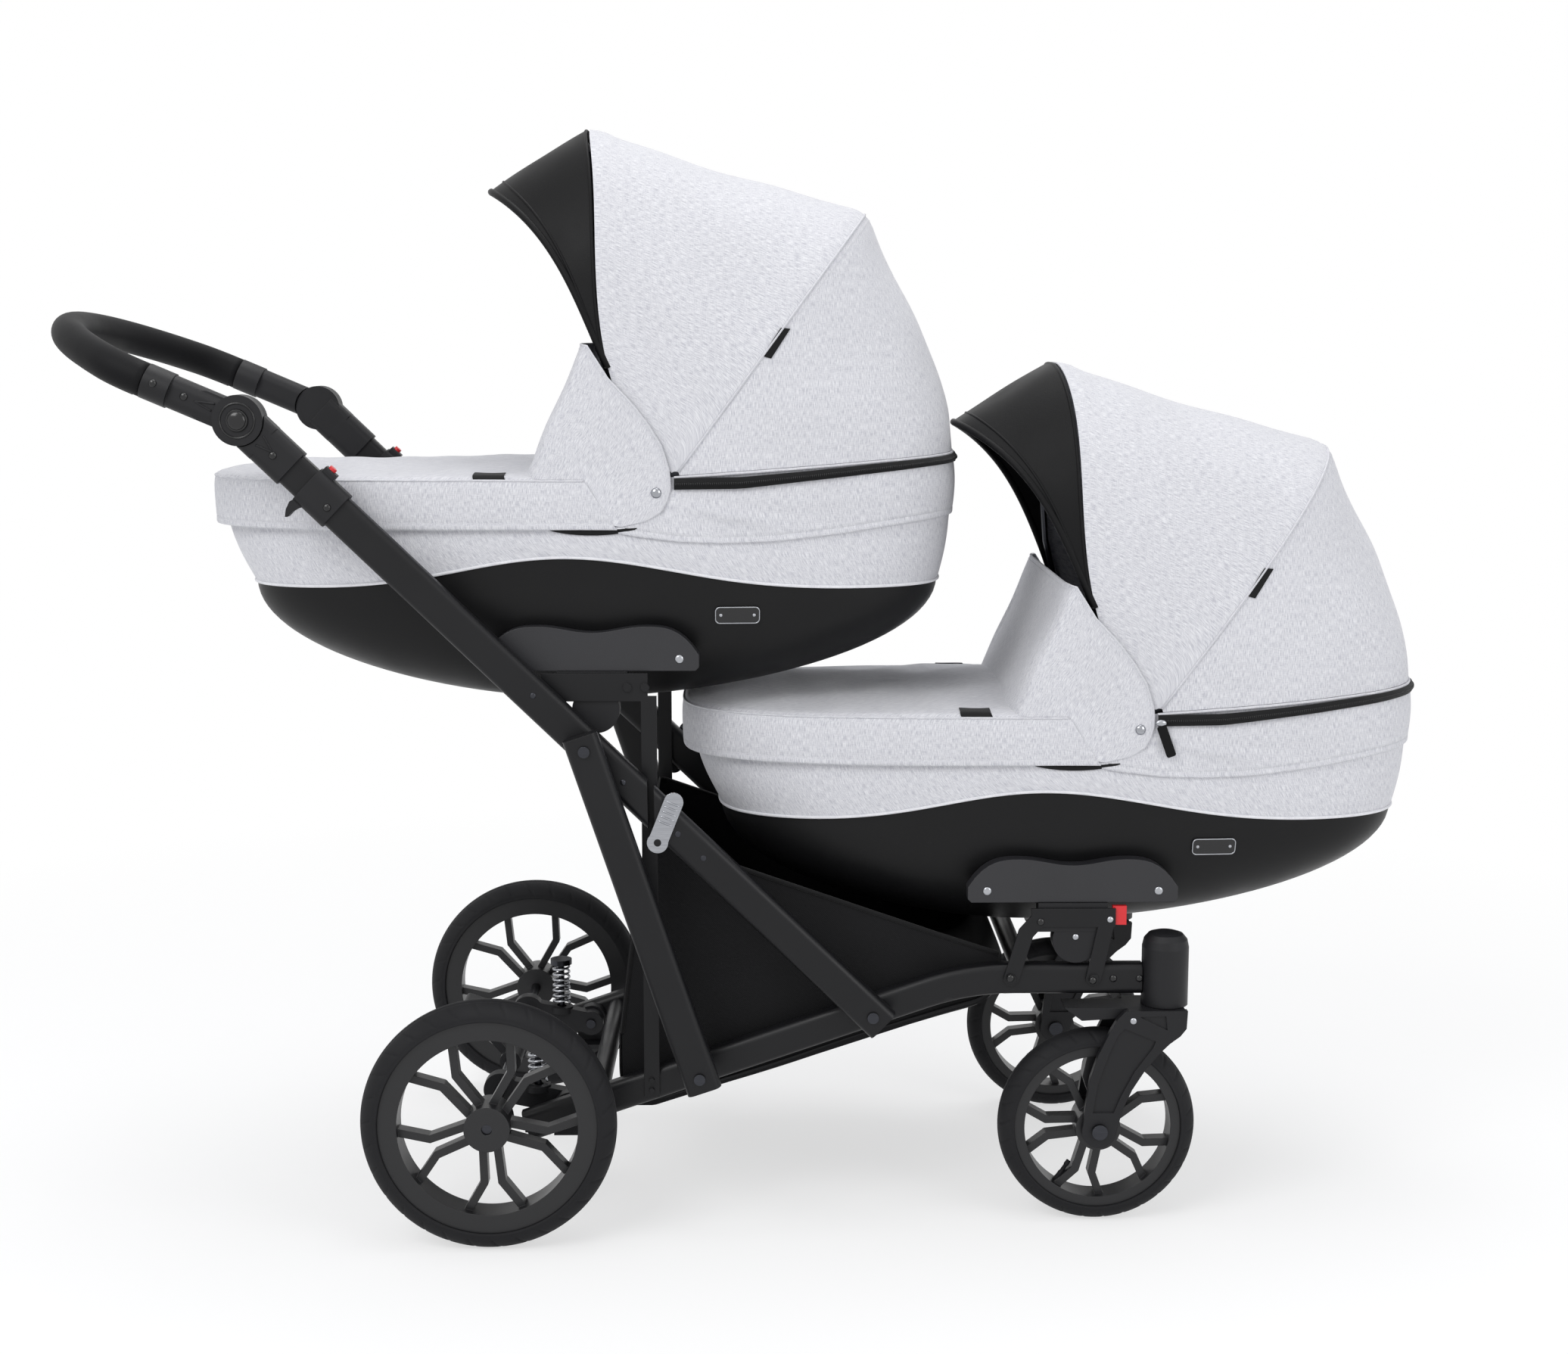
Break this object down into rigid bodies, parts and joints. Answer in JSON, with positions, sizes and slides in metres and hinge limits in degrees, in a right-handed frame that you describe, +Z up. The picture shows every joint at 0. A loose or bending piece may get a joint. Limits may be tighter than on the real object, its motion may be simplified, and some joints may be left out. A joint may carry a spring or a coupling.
{
  "type": "twin pram",
  "caption": "Folding pram chassis with swivel front wheels, sprung rear axle and basket, carrying hooded carrycots one above the other, with a tilting handle.",
  "frame": {"origin": "middle of the ground outline, on the floor under the tyres", "axes": "+X forward to the swivel wheels, +Y to the pram's left, +Z up"},
  "size_m": [1.6117, 0.612, 1.2633],
  "materials": {
    "frame_paint": "satin",
    "dark_steel": "satin",
    "chrome": "polished",
    "black_plastic": "matte",
    "red_plastic": "gloss",
    "tyre_rubber": "matte",
    "grip_leather": "matte",
    "grey_fabric": "heathered",
    "white_fabric": "soft",
    "basket_fabric": "woven",
    "visor_leather": "satin"
  },
  "bodies": {
    "chassis": {"lower_tubes": "frame_paint", "cross_tubes": "frame_paint", "swivel_housings": "black_plastic", "suspension_brackets": "black_plastic", "spring_rods": "dark_steel", "frame_bolts": "dark_steel", "lower_carriers": "frame_paint", "upper_carriers": "frame_paint", "adapters": "black_plastic", "basket": "basket_fabric", "springs": "dark_steel"},
    "rear_suspension": {"rear_arms": "black_plastic", "rear_axle": "dark_steel"},
    "brake": {"brake_pedal": "black_plastic"},
    "rear_wheel_right": {"rear_rim_right": "black_plastic", "rear_tyre_right": "tyre_rubber"},
    "rear_wheel_left": {"rear_rim_left": "black_plastic", "rear_tyre_left": "tyre_rubber"},
    "front_fork_right": {"fork_right": "black_plastic", "front_axle_right": "dark_steel"},
    "front_fork_left": {"fork_left": "black_plastic", "front_axle_left": "dark_steel"},
    "front_wheel_right": {"front_rim_right": "black_plastic", "front_tyre_right": "tyre_rubber"},
    "front_wheel_left": {"front_rim_left": "black_plastic", "front_tyre_left": "tyre_rubber"},
    "legs": {"rear_legs": "frame_paint", "leg_pins": "dark_steel"},
    "strut_pair": {"struts": "frame_paint"},
    "latch_pair": {"latches": "chrome"},
    "handle_frame": {"handle_tubes": "frame_paint", "joint_bases": "black_plastic"},
    "handle": {"handle_bar": "dark_steel", "grip_cover": "grip_leather", "joint_heads": "black_plastic"},
    "button_right": {"joint_button_right": "black_plastic"},
    "button_left": {"joint_button_left": "black_plastic"},
    "slider_pair": {"fold_sliders": "black_plastic"},
    "slider_press": {"slider_buttons": "red_plastic"},
    "tab_set": {"release_tabs": "red_plastic"},
    "upper_cot": {"upper_tub": "black_plastic", "upper_side_fabric": "grey_fabric", "upper_mattress": "white_fabric", "upper_apron": "grey_fabric", "upper_hood_rear": "grey_fabric", "upper_hood_front": "grey_fabric", "upper_mid_bow": "dark_steel", "upper_mount_plates": "black_plastic"},
    "upper_hood": {"upper_front_bow": "dark_steel", "upper_visor": "visor_leather"},
    "lower_cot": {"lower_tub": "black_plastic", "lower_side_fabric": "grey_fabric", "lower_mattress": "white_fabric", "lower_apron": "grey_fabric", "lower_hood_rear": "grey_fabric", "lower_hood_front": "grey_fabric", "lower_mid_bow": "dark_steel", "lower_mount_plates": "black_plastic"},
    "lower_hood": {"lower_front_bow": "dark_steel", "lower_visor": "visor_leather"}
  },
  "joints": [
    {"name": "suspension", "type": "hinge", "parent": "chassis", "child": "rear_suspension", "pos_m": [-0.199, 0, 0.12789], "axis": [0, 1, 0], "range_deg": [0, 5], "stiffness_Nm_per_rad": 200, "springref_deg": -4.58, "deforming": ["springs"]},
    {"name": "brake", "type": "hinge", "parent": "rear_suspension", "child": "brake", "pos_m": [-0.282, 0, 0.145], "axis": [0, 1, 0], "range_deg": [-20, 0]},
    {"name": "rear_roll_right", "type": "hinge", "parent": "rear_suspension", "child": "rear_wheel_right", "pos_m": [-0.282, -0.283, 0.145], "axis": [0, 1, 0], "continuous": true},
    {"name": "rear_roll_left", "type": "hinge", "parent": "rear_suspension", "child": "rear_wheel_left", "pos_m": [-0.282, 0.283, 0.145], "axis": [0, 1, 0], "continuous": true},
    {"name": "swivel_right", "type": "hinge", "parent": "chassis", "child": "front_fork_right", "pos_m": [0.494, -0.2, 0.259], "axis": [0, 0, 1], "continuous": true},
    {"name": "front_roll_right", "type": "hinge", "parent": "front_fork_right", "child": "front_wheel_right", "pos_m": [0.417, -0.2, 0.115], "axis": [0, 1, 0], "continuous": true},
    {"name": "swivel_left", "type": "hinge", "parent": "chassis", "child": "front_fork_left", "pos_m": [0.494, 0.2, 0.259], "axis": [0, 0, 1], "continuous": true},
    {"name": "front_roll_left", "type": "hinge", "parent": "front_fork_left", "child": "front_wheel_left", "pos_m": [0.417, 0.2, 0.115], "axis": [0, 1, 0], "continuous": true},
    {"name": "fold", "type": "hinge", "parent": "chassis", "child": "legs", "pos_m": [-0.044, 0, 0.19026], "axis": [0, 1, 0], "range_deg": [0, 60]},
    {"name": "strut_turn", "type": "hinge", "parent": "chassis", "child": "strut_pair", "pos_m": [0.154, 0, 0.25344], "axis": [0, 1, 0], "range_deg": [0, 114]},
    {"name": "handle_fold", "type": "hinge", "parent": "legs", "child": "handle_frame", "pos_m": [-0.17059, 0, 0.56799], "axis": [0, 1, 0], "range_deg": [-108, 0]},
    {"name": "latch", "type": "hinge", "parent": "strut_pair", "child": "latch_pair", "pos_m": [-0.09081, 0, 0.4592], "axis": [0, 1, 0], "range_deg": [0, 60]},
    {"name": "handle_angle", "type": "hinge", "parent": "handle_frame", "child": "handle", "pos_m": [-0.54761, 0, 0.93334], "axis": [0, 1, 0], "range_deg": [-20, 30]},
    {"name": "press_right", "type": "slide", "parent": "handle", "child": "button_right", "axis": [0, 1, 0], "range_m": [0, 0.002], "stiffness_N_per_m": 900},
    {"name": "press_left", "type": "slide", "parent": "handle", "child": "button_left", "axis": [0, -1, 0], "range_m": [0, 0.002], "stiffness_N_per_m": 900},
    {"name": "fold_grip", "type": "slide", "parent": "handle_frame", "child": "slider_pair", "axis": [-0.7181, 0, 0.6959], "range_m": [0, 0.018]},
    {"name": "fold_grip_press", "type": "slide", "parent": "slider_pair", "child": "slider_press", "axis": [-0.6959, 0, -0.7181], "range_m": [0, 0.0022], "stiffness_N_per_m": 700},
    {"name": "tab_press", "type": "slide", "parent": "chassis", "child": "tab_set", "axis": [-1, 0, 0], "range_m": [0, 0.004], "stiffness_N_per_m": 700},
    {"name": "upper_lift", "type": "slide", "parent": "chassis", "child": "upper_cot", "axis": [0, 0, 1], "range_m": [0, 0.3]},
    {"name": "lower_lift", "type": "slide", "parent": "chassis", "child": "lower_cot", "axis": [0, 0, 1], "range_m": [0, 0.3]},
    {"name": "upper_hood_fold", "type": "hinge", "parent": "upper_cot", "child": "upper_hood", "pos_m": [-0.069, 0, 0.87], "axis": [0, 1, 0], "range_deg": [0, 46], "deforming": ["upper_hood_front"]},
    {"name": "lower_hood_fold", "type": "hinge", "parent": "lower_cot", "child": "lower_hood", "pos_m": [0.481, 0, 0.6], "axis": [0, 1, 0], "range_deg": [0, 46], "deforming": ["lower_hood_front"]}
  ],
  "couplings": [
    {"joint": "strut_turn", "follows": "fold", "ratio": 1.9},
    {"joint": "handle_fold", "follows": "fold", "ratio": -1.8},
    {"joint": "lower_lift", "follows": "upper_lift", "ratio": 1}
  ]
}
